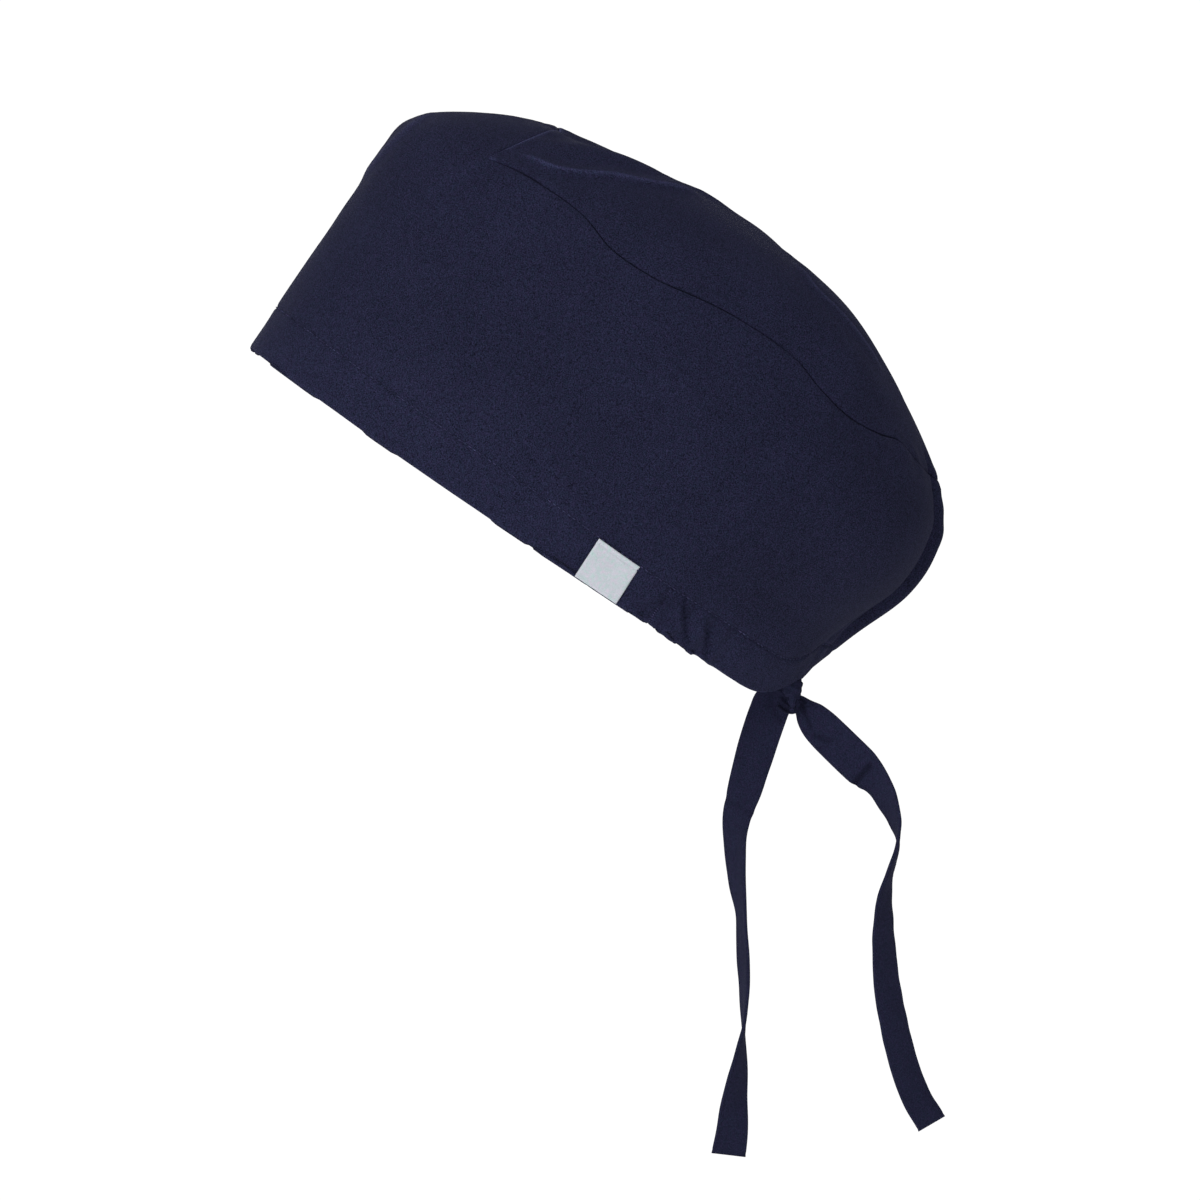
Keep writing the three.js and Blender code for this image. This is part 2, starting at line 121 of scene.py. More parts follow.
FOLDS = table(
    "s0 x0 s1 x1 width lift",
    (0.13, 0.1, 0.46, 0.03, 0.17, -0.034),
    (0.12, 0.62, 0.46, 0.14, 0.09, 0.016),
    (0.08, -0.3, 0.5, -0.2, 0.17, 0.004),
    (0.5, 0.04, 0.92, 0.01, 0.12, -0.034),
    (0.5, 0.2, 0.86, 0.2, 0.1, 0.006),
)
TIE_COLUMNS = "back down side spread twist"
LEFT_TIE = table(
    TIE_COLUMNS,
    (-0.031, 0.004, 0, 0.6, 0),
    (-0.045, 0.008, 0, 0.95, 0),
    (-0.057, 0.032, 0, 1, 0),
    (-0.081, 0.103, 0, 1, 8),
    (-0.096, 0.155, 0.02, 1, 20),
    (-0.11, 0.208, 0.04, 1, 30),
    (-0.125, 0.26, 0.06, 1, 45),
    (-0.13, 0.313, 0.08, 1, 56),
    (-0.126, 0.4, 0.1, 1, 66),
    (-0.116, 0.483, 0.09, 1, 78),
    (-0.111, 0.56, 0.07, 1, 75),
    (-0.109, 0.625, 0.04, 1, 77),
    (-0.111, 0.69, 0.01, 1, 83),
    (-0.114, 0.75, -0.01, 1, 97),
    (-0.124, 0.838, -0.04, 1, 121),
    (-0.136, 0.943, -0.04, 1, 142),
    (-0.144, 1.004, -0.02, 1, 150),
)
RIGHT_TIE = table(
    TIE_COLUMNS,
    (0.016, 0.022, 0, 0.5, 0),
    (0.032, 0.04, 0, 0.78, 0),
    (0.054, 0.065, 0, 0.95, 0),
    (0.097, 0.108, 0, 1, 5),
    (0.145, 0.154, 0, 1, 11),
    (0.178, 0.184, 0.02, 1, 44),
    (0.2, 0.222, 0.04, 1, 57),
    (0.219, 0.276, 0.04, 1, 75),
    (0.226, 0.311, 0.02, 1, 90),
    (0.221, 0.348, 0, 1, 95),
    (0.208, 0.392, -0.02, 1, 99),
    (0.198, 0.444, -0.04, 1, 110),
    (0.196, 0.549, -0.06, 1, 125),
    (0.215, 0.707, -0.04, 1, 134),
    (0.261, 0.864, 0, 1, 139),
    (0.3, 0.935, 0.02, 1, 140),
)

# Where the ties go on inside the knot
LEFT_TUCK = table(TIE_COLUMNS, (0.002, 0.02, 0.12, 0.36, 0), (-0.012, 0.018, 0.12, 0.5, 0))
RIGHT_TUCK = table(TIE_COLUMNS, (-0.006, 0.004, 0, 0.3, 0), (0.005, 0.013, 0, 0.42, 0))

# Folds across the ties, in millimetres: run is from the knot, and edge from the middle line
STRAP_FOLD_COLUMNS = "run0 edge0 run1 edge1 width depth"
LEFT_STRAP_FOLDS = table(
    STRAP_FOLD_COLUMNS,
    (46, -7, 49, 7, 1.6, 0.35),
    (8, -2, 14, 5, 1.2, 0.35),
)
RIGHT_STRAP_FOLDS = table(
    STRAP_FOLD_COLUMNS,
    (4, 0.5, 12, -2.5, 0.7, 0.7),
    (15, -3.6, 20, -0.8, 1, 0.6),
    (36.5, -7, 36, 2.5, 1.1, 1),
)

# Lines on the cap's left side that sharp folds follow: where they run, as seen from that side
CROWN_RIDGE = table(
    "s h",
    (0.16, 0.805), (0.187, 0.814), (0.222, 0.823), (0.256, 0.849), (0.298, 0.893),
    (0.339, 0.924), (0.389, 0.966), (0.431, 0.991),
)
BACK_RIDGE = table(
    "s h",
    (0.575, 0.98), (0.613, 0.963), (0.632, 0.948), (0.692, 0.922), (0.761, 0.884),
    (0.798, 0.855),
)
FRONT_EDGE = table("h s", (0.5, -0.004), (0.589, 0), (0.67, 0.008), (0.75, 0.021), (0.8, 0.036))
FRONT_DRAPE = table("h s", (0.57, 0.087), (0.66, 0.112), (0.744, 0.133))
CASING_CREASE = table("h s", (-0.04, 0.768), (0.063, 0.727), (0.09, 0.717))
CASING_CREASE_BEHIND = table("h s", (-0.04, 0.803), (0.04, 0.776), (0.06, 0.769))

# How those folds stand: height, how far their two sides reach, and the groove's share
CREASES = {
    "crown_ridge": (CROWN_RIDGE, 1.5 * MM, 0.9 * MM, 2.4 * MM, 0.1),
    "back_ridge": (BACK_RIDGE, 1.2 * MM, 1.3 * MM, 0.8 * MM, 0.6),
    "front_edge": (FRONT_EDGE, 0.6 * MM, 0.8 * MM, 0.9 * MM, 0.4),
    "front_drape": (FRONT_DRAPE, 0.5 * MM, 2.5 * MM, 1.2 * MM, 0.3),
    "casing": (CASING_CREASE, 1.3 * MM, 1.6 * MM, 0.6 * MM, 0.9),
    "casing_behind": (CASING_CREASE_BEHIND, 1.1 * MM, 2 * MM, 0.6 * MM, 0.9),
}

# How much painted highlight lies along them, and how far to their two sides
PAINTED_HIGHLIGHTS = {
    "crown_ridge": (0.65, 0.5 * MM, 0.4 * MM),
    "back_ridge": (0.5, 0.5 * MM, 0.35 * MM),
    "front_edge": (0.35, 0.8 * MM, 0.9 * MM),
    "front_drape": (0.12, 1.2 * MM, 0.8 * MM),
}

# The rolled edge of the cloth at the crown seam: how far off the seam, and how deep
SEAM_ROLL = MM * np.array([
    (2.6, 0), (1.6, 0), (0.9, 0.02), (0.5, 0.06), (0.3, 0.15), (0.18, 0.34), (0.11, 0.7),
    (0.07, 1.3),
])

# The band's raw edge inside, turned up under the crown: how far above the seam, and how deep
SEAM_ALLOWANCE = MM * np.array([
    (-0.06, 1.8), (0.2, 2.2), (0.8, 2.5), (2, 2.6), (4, 2.6), (6, 2.5),
])

# The rings that the crown seam lies between
SEAM_RINGS = (3.0, 7.0)

# Soft waves in the cloth: height, length and random seed
WAVES = {
    "band": (0.35 * MM, 46 * MM, 11),
    "band_fine": (0.12 * MM, 17 * MM, 12),
    "hem": (0.2 * MM, 11 * MM, 5),
    "casing": (0.45 * MM, 6.5 * MM, 8),
    "rim": (0.28 * MM, 34 * MM, 62),
    "drawn_rim": (0.5 * MM, 9 * MM, 61),
    "seam": (0.34 * MM, 13 * MM, 3),
    "crown": (0.4 * MM, 30 * MM, 21),
    "label": (0.12 * MM, 9 * MM, 31),
}

# The real cloth, which is thinner than the CAD walls that it lies in
SHEET = 0.6 * MM
LABEL_SHEET = 0.5 * MM
HEM_FOLD = 0.85 * MM  # radius of the fold at the rim
STITCH_PITCH = 2.1 * MM
STITCH_LENGTH = 1.5 * MM
THREAD_RADIUS = 0.21 * MM
BAR_TACK = 169 * MM  # along the rim, where the tie is sewn into the casing
TACK_HALF_WIDTH = 0.35 * MM
TACK_PITCH = 0.9 * MM
TACK_SUNK = 0.45 * MM  # how far its threads lie below the cloth's smooth form
STITCH_STAND = 0.16 * MM  # how far the hem's threads stand off the cloth
PUCKERS_FADE = 186 * MM  # along the rim, where the casing's puckers begin to fade
PLAIN_FROM_SEAM = 1.4 * SEAM_ROLL[0, 0]  # where the plain rows of cloth begin, off the seam
PLAIN_ROWS_OFF = 4 * MM  # how far off the seam the puckers take those rows to be at least
FAR_FROM_SEAM = 40 * MM  # and how far off it they take the hem to be

# The straps of the ties
STRAP_THICK = 1.1 * MM
STRAP_ROUNDING = 0.5 * MM  # how far in from its edge the strap rounds off
STRAP_HOLLOW = 0.35 * MM  # how far its edges lie behind its middle
EDGE_STITCH = 1.2 * MM  # in from the strap's edge
SEWN_SHARE = 0.7  # of the strap's thickness, under its stitches
SKIPPED_STITCHES = 6  # at the start, inside the knot
TIE_THREAD_RADIUS = 0.14 * MM
FOLD_SHADE = 0.25 / MM  # how much painted shade darkens the cloth in a fold, by the fold's depth
KNOT_SHADE = 0.25  # how much painted shadow darkens it where it comes out of the knot, under the band

# The turn of cloth round the knot: shares of the knot's own width, depth and height
WRAP_TILT = math.radians(-14)
WRAP_RADIUS = 0.31
WRAP_TUBE = 0.19
WRAP_DEPTH = 1.05
WRAP_HEIGHT = 1.5
WRAP_RISE = 0.27

# The two strands inside it: their lean, and where they start and end as shares of its height
STRANDS = ((0.25, 0.42, -0.55), (-0.3, 0.4, -0.5))
STRAND_WIDTH = 0.33
STRAND_DEPTH = 0.4

# How finely the cloth is meshed
COARSE = 2.3 * MM
FINE = 0.75 * MM
CROWN_SPACING = 1.25 * MM
HEM_ROWS_INSIDE = 9
HEM_FOLD_ROWS = 9
HEM_ROWS = 11
BAND_ROWS = 54
CROWN_ROWS = 84
LABEL_COLUMNS, LABEL_ROWS = 56, 54
STRAP_STATIONS, STRAP_COLUMNS = 330, 25
WRAP_STATIONS, WRAP_SIDES = 110, 84
STRAND_STATIONS, STRAND_SIDES = 40, 28
THREAD_STATIONS, THREAD_SIDES = 5, 6

# The studio: each soft light's place, size and power
LIGHTS = {
    "key": ((3.0, -0.4, 2.0), 2.0, 37),
    "front": ((1.4, -3.2, 0.6), 1.6, 16),
    "low": ((2.6, -1.6, -0.5), 1.2, 28),
    "back": ((1.4, 2.3, 2.2), 1.4, 15),
    "top": ((0.6, -0.4, 3.4), 1.6, 28),
    "far": ((-3.2, -0.6, 0.8), 2.0, 25),
}

# The plain ground and floor: how much light they give, and how bright the camera sees them
GROUND_LIGHT, GROUND_SEEN = 0.25, 1.05
FLOOR_LIGHT, FLOOR_SEEN = 0.2, 0.5
FLOOR_RADIUS = 1.5
FLOOR_BELOW = 0.25  # under the ties' ends
FLOOR_CORNERS = 96

# The photograph: its scale, the middle of its frame and how far off the camera stands
PHOTO_FRAME = 0.42
PHOTO_MIDDLE = (0, -0.04348, -0.13757)
CAMERA_DISTANCE = 8.0
SENSOR = 36


def clamp(value, low, high):
    return np.minimum(np.maximum(value, low), high)


def lerp(a, b, t):
    return a + (b - a) * t


def smoothstep(value, low, high):
    t = clamp((value - low) / (high - low), 0, 1)
    return t * t * (3 - 2 * t)


def between(value, start, full, last, gone):
    """1 from full to last, fading to 0 at start and at gone."""
    return smoothstep(value, start, full) * (1 - smoothstep(value, last, gone))


def bell(distance, width):
    return np.exp(-(distance / width) ** 2)


def along(rows, key, at, column):
    """A table's column at any places along it, as a smooth curve through the rows."""
    keys, values = rows[key], rows[column]
    at = np.asarray(at, float)
    i = clamp(np.searchsorted(keys, at) - 1, 0, len(keys) - 2)
    slope = np.empty(len(keys))
    slope[1:-1] = (values[2:] - values[:-2]) / (keys[2:] - keys[:-2])
    slope[0] = (values[1] - values[0]) / (keys[1] - keys[0])
    slope[-1] = (values[-1] - values[-2]) / (keys[-1] - keys[-2])
    span = keys[i + 1] - keys[i]
    t = clamp((at - keys[i]) / span, 0, 1)
    ease = t * t * (3 - 2 * t)
    leave = t * (1 - t) ** 2 * span * slope[i]
    arrive = t * t * (t - 1) * span * slope[i + 1]
    return lerp(values[i], values[i + 1], ease) + leave + arrive


def unit(vectors):
    return vectors / np.maximum(np.linalg.norm(vectors, axis=-1, keepdims=True), 1e-12)


def run_along(line):
    """How far along a line of points each one lies."""
    return np.concatenate([[0], np.cumsum(np.linalg.norm(np.diff(line, axis=0), axis=1))])


def smooth_shell(turn, ring):
    """The cloth without its folds."""
    turn, ring = np.broadcast_arrays(np.mod(turn, 2 * math.pi), ring)
    left = np.where(turn <= math.pi, 1, -1)
    angle = np.where(left > 0, turn, 2 * math.pi - turn)
    of = {name: along(RINGS, "ring", ring, name) for name in RINGS}
    widest = lerp(of["front_s"], of["back_s"], WIDEST)
    ahead = angle < math.pi / 2
    square = 2 / np.where(ahead, of["front"], of["back"])
    reach = np.abs(np.cos(angle)) ** square
    s = widest + np.where(ahead, of["front_s"] - widest, of["back_s"] - widest) * reach
    end_h = np.where(ahead, of["front_h"], of["back_h"])
    h = lerp(of["side_h"], end_h, np.cos(angle) ** 2)
    x = left * of["side_x"] * np.abs(np.sin(angle)) ** square
    return np.stack([x * CAP_HALF_WIDTH, s * CAP_LENGTH, h * CAP_HEIGHT], -1)


def back_fold(p, ring):
    """How far the centre-back fold draws the cloth in, and the left half stands short."""
    x, s = p[..., 0], p[..., 1]
    behind = smoothstep(s, 0.7 * CAP_LENGTH, 0.9 * CAP_LENGTH)
    level = between(ring, 0.3, 1.6, 4.6, 6.6)
    crease = bell(x, FOLD_HALF_WIDTH)
    shorter = smoothstep(x, 0, 2 * FOLD_HALF_WIDTH) * smoothstep(ring, 0.2, 1)
    over = 1 - smoothstep(ring, 5, 7.5)
    return behind * (FOLD_DEPTH * level * crease + LEFT_SHORTER * shorter * over)


def across_line(p, fold):
    """Where a point lies beside one of the crown's folds: along it, and off it by its width."""
    start = np.array([fold["s0"] * CAP_LENGTH, fold["x0"] * CAP_HALF_WIDTH])
    line = np.array([fold["s1"] * CAP_LENGTH, fold["x1"] * CAP_HALF_WIDTH]) - start
    from_start = np.stack([p[..., 1], p[..., 0]], -1) - start
    length = np.hypot(*line)
    t = from_start @ line / length ** 2
    cross = from_start[..., 0] * line[1] - from_start[..., 1] * line[0]
    return t, cross / length / (fold["width"] * CAP_HALF_WIDTH)


def fold_lift(p, ring):
    """How far the crown's folds lift a point."""
    lift = np.zeros(p.shape[:-1])
    for i in range(len(FOLDS["s0"])):
        fold = {name: values[i] for name, values in FOLDS.items()}
        t, off = across_line(p, fold)
        ends = between(t, 0, 0.35, 0.65, 1)
        lift = lift + ends * fold["lift"] * CAP_HEIGHT * bell(off, 1)
    return smoothstep(ring, 4.8, 6.4) * lift


def gathers(p, rim_h):
    """The casing's puckers, as a push outwards."""
    progress = (p[..., 1] - GATHER_START) / (GATHER_END - GATHER_START)
    within = between(progress, 0, 0.2, 0.6, 1.2)
    fade = 1 - smoothstep(p[..., 2] - rim_h, 0, GATHER_REACH)
    return GATHER_DEPTH * within * fade * np.cos(2 * math.pi * GATHER_COUNT * progress)


def shell(turn, ring):
    """A point of the cap's outside, as in the CAD source."""
    turn, ring = np.broadcast_arrays(turn, ring)
    p = smooth_shell(turn, ring)
    rim = smooth_shell(turn, 0)
    flat = unit(p[..., :2] - np.array([0, WIDEST * CAP_LENGTH]) + 1e-12)
    push = gathers(p, rim[..., 2])
    moved = p.copy()
    moved[..., 0] += push * flat[..., 0]
    moved[..., 1] += push * flat[..., 1] - back_fold(p, ring)
    moved[..., 2] += fold_lift(p, ring)
    return moved


def rise_between(turn, low, high):
    """How far apart two rings lie."""
    return np.linalg.norm(smooth_shell(turn, high) - smooth_shell(turn, low), axis=-1)


def ring_above(turn, ring, length):
    """The ring that a stretch of cloth measured up the outside from another ring ends on."""
    step = 0.02
    return ring + length * step / rise_between(turn, ring, ring + step)


def halve(low, high, is_below, count):
    """Where between two limits is_below stops being true, found by halving."""
    for _ in range(count):
        middle = (low + high) / 2
        below = is_below(middle)
        low, high = np.where(below, middle, low), np.where(below, high, middle)
    return low


def seam_ring(turn):
    """The ring that the crown seam follows: the side seam, or in front the line over the crown."""
    lean = (SEAM_TOP["s"] - SEAM_CORNER["s"]) / (SEAM_TOP["h"] - SEAM_CORNER["h"])

    def below_seam(ring):
        p = smooth_shell(turn, ring)
        s, h = p[..., 1] / CAP_LENGTH, p[..., 2] / CAP_HEIGHT
        ahead = s < SEAM_CORNER["s"] + lean * (h - SEAM_CORNER["h"])
        return ahead | (h < along(SIDE_SEAM, "s", s, "h"))

    low, high = (np.full(turn.shape, ring) for ring in SEAM_RINGS)
    return halve(low, high, below_seam, 30)


def rim_ring(turn):
    """The ring of the rim, which arches up at the nape over the casing's mouth."""
    x = smooth_shell(turn, 0)[..., 0]
    arch = (np.cos(turn) < 0) * MOUTH_HEIGHT * bell(x, MOUTH_HALF_WIDTH)
    return ring_above(turn, 0, arch)


def outward(turn, ring):
    """The direction out of the cloth."""
    e = 0.004
    around = shell(turn + e, ring) - shell(turn - e, ring)
    up = shell(turn, np.minimum(ring + e, SPINE_RING)) - shell(turn, ring - e)
    return unit(np.cross(around, up))


def ripple(u, v, size, seed, count=7):
    """A soft random field of about -1 to 1, the same at each run."""
    rng = np.random.default_rng(seed)
    total = 0
    for _ in range(count):
        heading, phase, scale = rng.uniform(0, 2 * math.pi, 3) * (1, 1, 1 / (2 * math.pi))
        k = 2 * math.pi / (size * (0.7 + 0.8 * scale))
        total = total + np.sin(k * (u * math.cos(heading) + v * math.sin(heading)) + phase)
    return total / math.sqrt(count * 2)


def waves(kind, u, v=0):
    """One of the soft waves in the cloth, as a height."""
    height, size, seed = WAVES[kind]
    return height * ripple(u, v, size, seed)


def crease(p, line, before, beyond, groove=0.0):
    """A sharp fold along a line: its crest, and the groove past it, from 0 to 1. before and
    beyond say how far its two sides reach, and groove how deep the groove is."""
    key, off_key = line
    place = {"s": p[..., 1] / CAP_LENGTH, "h": p[..., 2] / CAP_HEIGHT}
    size = {"s": CAP_LENGTH, "h": CAP_HEIGHT}
    first, last = line[key][0], line[key][-1]
    lean = (line[off_key][-1] - line[off_key][0]) * size[off_key] / ((last - first) * size[key])
    off = (place[off_key] - along(line, key, place[key], off_key)) * size[off_key]
    off = off / math.hypot(1, lean)
    ends = between(place[key], first, lerp(first, last, 0.2), lerp(first, last, 0.8), last)
    crest = np.where(off < 0, bell(off, before), bell(off, beyond))
    return ends * (crest - groove * bell(off - 1.7 * beyond, 0.8 * beyond)) * (p[..., 0] > 0)


def raised(p, *names):
    """How far the named folds raise the cloth."""
    total = 0
    for name in names:
        line, height, before, beyond, groove = CREASES[name]
        total = total + height * crease(p, line, before, beyond, groove)
    return total


def painted_highlight(p, *names):
    """How much painted highlight lies along the named folds."""
    total = 0
    for name in names:
        amount, before, beyond = PAINTED_HIGHLIGHTS[name]
        total = total + amount * crease(p, CREASES[name][0], before, beyond)
    return total


def tilt(direction):
    """A direction from the cap's own frame in the CAD's, which is tilted about x."""
    cos, sin = math.cos(-RIM_TILT), math.sin(-RIM_TILT)
    x, s, h = direction[..., 0], direction[..., 1], direction[..., 2]
    return np.stack([x, cos * s - sin * h, sin * s + cos * h], -1)


def to_world(p):
    """A point from the cap's own frame in the CAD's, which has the seat at its origin."""
    return tilt(p - SEAT)


middle_line = shell(np.linspace(0.01, math.pi - 0.01, 2001), SPINE_RING)
seat_h = np.interp(SEAT_SHARE * CAP_LENGTH, middle_line[:, 1], middle_line[:, 2])
SEAT = np.array([0, SEAT_SHARE * CAP_LENGTH, seat_h - CLOTH])


def column_turns(coarse=COARSE, fine=FINE):
    """Where the columns of cloth stand: widely spaced in front, and close at the gathers."""
    turn = np.linspace(0, math.pi, 6001)
    rim = smooth_shell(turn, 1)
    step = np.linalg.norm(np.diff(rim, axis=0), axis=1)
    near = smoothstep(rim[1:, 1], GATHER_START - 20 * MM, GATHER_START)
    passed = np.concatenate([[0], np.cumsum(step / lerp(coarse, fine, near))])
    count = round(passed[-1])
    left = np.interp(np.linspace(0, passed[-1], count + 1), passed, turn)
    return np.concatenate([left, 2 * math.pi - left[-2:0:-1]])


def run_round(turns, ring):
    """How far round the cap each column stands, measured along one ring."""
    return run_along(shell(np.append(turns, 2 * math.pi), ring))[:-1]


def new_object(name, data):
    obj = bpy.data.objects.new(name, data)
    bpy.context.scene.collection.objects.link(obj)
    return obj


def add_mesh(name, points, faces, uvs=None, material=None, smooth=True, painted_light=None):
    """A mesh object in the world's frame. uvs has a row for each corner of each face, and
    painted_light says for each point how much painted highlight lightens it there, or how
    much painted shade darkens it below 0."""
    mesh = bpy.data.meshes.new(name)
    mesh.from_pydata([tuple(p) for p in points], [], [tuple(f) for f in faces])
    if uvs is not None:
        layer = mesh.uv_layers.new(name="cloth")
        layer.data.foreach_set("uv", np.asarray(uvs, np.float32).ravel())
    if painted_light is not None:
        light_paint = mesh.attributes.new("painted_light", "FLOAT", "POINT")
        light_paint.data.foreach_set("value", np.asarray(painted_light, np.float32))
    mesh.polygons.foreach_set("use_smooth", [smooth] * len(mesh.polygons))
    obj = new_object(name, mesh)
    if material:
        mesh.materials.append(material)
    return obj


def grid_ids(rows, columns, loop, spine):
    """Vertex numbers of a grid. loop repeats the first column at the end, and spine joins the
    two halves of the top row along the middle."""
    ids = np.arange(rows * columns).reshape(rows, columns)
    if spine:
        half = columns // 2
        ids[-1, half + 1:] = ids[-1, half - 1:0:-1]
    if loop:
        ids = np.concatenate([ids, ids[:, :1]], axis=1)
    return ids


def quads(ids):
    """The faces between the rows and columns of a grid of vertex numbers."""
    return np.stack([ids[:-1, :-1], ids[:-1, 1:], ids[1:, 1:], ids[1:, :-1]], -1).reshape(-1, 4)


def quad_uvs(uv):
    """The places on the flat cloth of each face's corners."""
    numbers = np.arange(uv.shape[0] * uv.shape[1]).reshape(uv.shape[:2])
    return uv.reshape(-1, 2)[quads(numbers)]


def grid_normals(grid, ids):
    """The direction out of the cloth at each point of a grid."""
    points = grid.reshape(-1, 3)
    faces = quads(ids)
    out = np.cross(points[faces[:, 2]] - points[faces[:, 0]],
                   points[faces[:, 3]] - points[faces[:, 1]])
    sums = np.zeros_like(points)
    for corner in range(4):
        np.add.at(sums, faces[:, corner], out)
    length = np.linalg.norm(sums, axis=1, keepdims=True)
    return (sums / np.where(length > 0, length, 1)).reshape(grid.shape)


def sheet_mesh(name, grid, uv, thickness, material, loop=False, spine=False, painted_light=0.0):
    """A closed sheet of cloth. The grid is its outer face, and uv its places on the flat cloth."""
    rows, columns = grid.shape[:2]
    ids = grid_ids(rows, columns, loop, spine)
    inner = grid - grid_normals(grid, ids) * thickness
    behind = ids + rows * columns
    faces = [quads(ids), quads(behind)[:, ::-1]]
    outer_uv = quad_uvs(uv)
    corner_uv = [outer_uv, outer_uv[:, ::-1]]
    edges = [(0, slice(None), 1)]
    if not spine:
        edges.append((-1, slice(None), -1))
    if not loop:
        edges += [(slice(None), 0, -1), (slice(None), -1, 1)]
    for row, column, way in edges:
        near, far, where = ids[row, column], behind[row, column], uv[row, column]
        pairs = [near[:-1], far[:-1], far[1:], near[1:]]
        places = [where[:-1], where[:-1], where[1:], where[1:]]
        faces.append(np.stack(pairs[::way], -1))
        corner_uv.append(np.stack(places[::way], 1))
    points = np.concatenate([grid.reshape(-1, 3), inner.reshape(-1, 3)])
    all_faces = np.concatenate(faces)
    used = np.zeros(len(points), bool)
    used[all_faces] = True
    new_id = np.cumsum(used) - 1
    light_paint = np.broadcast_to(painted_light, grid.shape[:2]).ravel()
    return add_mesh(name, points[used], new_id[all_faces], np.concatenate(corner_uv), material,
                    painted_light=np.concatenate([light_paint, light_paint])[used])


def cloth_uv(grid, loop):
    """Places on the flat cloth: the run along the middle row, and the run up each column."""
    if loop:
        grid = np.concatenate([grid, grid[:, :1]], axis=1)
    u = run_along(grid[len(grid) // 2])
    steps = np.linalg.norm(np.diff(grid, axis=0), axis=2)
    v = np.concatenate([np.zeros((1, grid.shape[1])), np.cumsum(steps, axis=0)])
    return np.stack([np.broadcast_to(u, v.shape), v], -1)


# Materials

MIX_A, MIX_B, MIX_RESULT = 6, 7, 2  # the colour sockets of a Mix node
PALER = 1.6  # how much paler the painted highlight makes the cloth where painted_light is 1


def fabric(name, colour, roughness=0.95, weave=0.42 * MM, speckle=3.2, blotch=0.22, bump=0.5,
           sheen=0.03):
    """A woven cloth: fine threads both ways, thick and thin places and uneven dye, with the
    painted highlights and painted shade that its painted_light attribute carries.
    """
    material = bpy.data.materials.new(name)
    material.use_nodes = True
    nodes, links = material.node_tree.nodes, material.node_tree.links
    shader = nodes["Principled BSDF"]
    shader.inputs["Roughness"].default_value = roughness
    shader.inputs["Specular IOR Level"].default_value = 0.04
    shader.inputs["Sheen Weight"].default_value = sheen
    shader.inputs["Sheen Roughness"].default_value = 0.5
    shader.inputs["Sheen Tint"].default_value = (0.6, 0.62, 1, 1)

    def math_node(operation, *values):
        node = nodes.new("ShaderNodeMath")
        node.operation = operation
        for socket, value in zip(node.inputs, values):
            if isinstance(value, (int, float)):
                socket.default_value = value
            else:
                links.new(value, socket)
        return node.outputs[0]

    def noise(size, detail):
        node = nodes.new("ShaderNodeTexNoise")
        node.inputs["Scale"].default_value = 1 / size
        node.inputs["Detail"].default_value = detail
        links.new(place.outputs["Object"], node.inputs["Vector"])
        return node.outputs["Fac"]

    def about_one(value, amount):
        return math_node("MULTIPLY_ADD", value, amount, 1 - amount / 2)

    place = nodes.new("ShaderNodeTexCoord")
    flat = nodes.new("ShaderNodeSeparateXYZ")
    links.new(place.outputs["UV"], flat.inputs[0])
    wobble = math_node("MULTIPLY", noise(6 * MM, 2), 9)
    threads = [math_node("SINE", math_node("MULTIPLY_ADD", flat.outputs[axis],
                                           2 * math.pi / weave, wobble)) for axis in (0, 1)]
    plain = math_node("MULTIPLY", threads[0], threads[1])
    grain, patches, broad = noise(0.42 * MM, 1), noise(4.5 * MM, 2), noise(28 * MM, 2)

    height = math_node("ADD", math_node("MULTIPLY", plain, 0.35), grain)
    shape = nodes.new("ShaderNodeBump")
    shape.inputs["Strength"].default_value = bump
    shape.inputs["Distance"].default_value = 0.12 * MM
    links.new(height, shape.inputs["Height"])
    links.new(shape.outputs[0], shader.inputs["Normal"])

    tone = math_node("MULTIPLY", about_one(grain, speckle), about_one(patches, blotch))
    tone = math_node("MULTIPLY", tone, about_one(broad, 0.35))
    tone = math_node("MULTIPLY", tone, math_node("MULTIPLY_ADD", plain, 0.1, 1))
    tone = math_node("MAXIMUM", tone, 0.3)
    # Painted light: the painted_light attribute pales the cloth as painted highlight above 0 and
    # darkens it as painted shade below 0
    light_paint = nodes.new("ShaderNodeAttribute")
    light_paint.attribute_name = "painted_light"
    tone = math_node("MULTIPLY", tone, math_node("MULTIPLY_ADD", light_paint.outputs["Fac"], PALER, 1))
    dye = nodes.new("ShaderNodeMix")
    dye.data_type = "RGBA"
    links.new(noise(1.3 * MM, 1), dye.inputs["Factor"])
    red, green, blue = colour
    dye.inputs[MIX_A].default_value = (red * 1.25, green * 0.95, blue * 1.1, 1)
    dye.inputs[MIX_B].default_value = (red * 0.75, green * 1.05, blue * 0.9, 1)
    paint = nodes.new("ShaderNodeVectorMath")
    paint.operation = "SCALE"
    links.new(dye.outputs[MIX_RESULT], paint.inputs[0])
    links.new(tone, paint.inputs["Scale"])
    links.new(paint.outputs[0], shader.inputs["Base Color"])
    return material


CLOTH_LOOK = fabric("navy_cloth", (0.0148, 0.0158, 0.0378))
TIE_LOOK = fabric("navy_tie_cloth", (0.016, 0.017, 0.0405), weave=0.4 * MM, speckle=1.8)
# The hem's and bar tacks' thread is painted about twice as pale as the cloth: a painted highlight
# for the light the stitches catch
THREAD_LOOK = fabric("navy_thread_painted_highlight", (0.034, 0.035, 0.078), weave=0.2 * MM, speckle=1.0,
                     blotch=3.2)
TIE_THREAD_LOOK = fabric("navy_tie_thread", (0.022, 0.023, 0.053), weave=0.2 * MM, speckle=1.0,
                         blotch=2)
LABEL_LOOK = fabric("grey_label_weave", (0.57, 0.61, 0.66), roughness=0.6, weave=0.5 * MM,
                    speckle=0.3, blotch=0.1, bump=0.4, sheen=0)


# Camera, lights and floor

def look_at(obj, target):
    """Turns a camera or a light to face a point, with its top up."""
    way = np.array(obj.location) - np.array(target)
    flat = math.hypot(way[0], way[1])
    obj.rotation_euler = (math.atan2(flat, way[2]), 0, math.atan2(way[0], -way[1]))


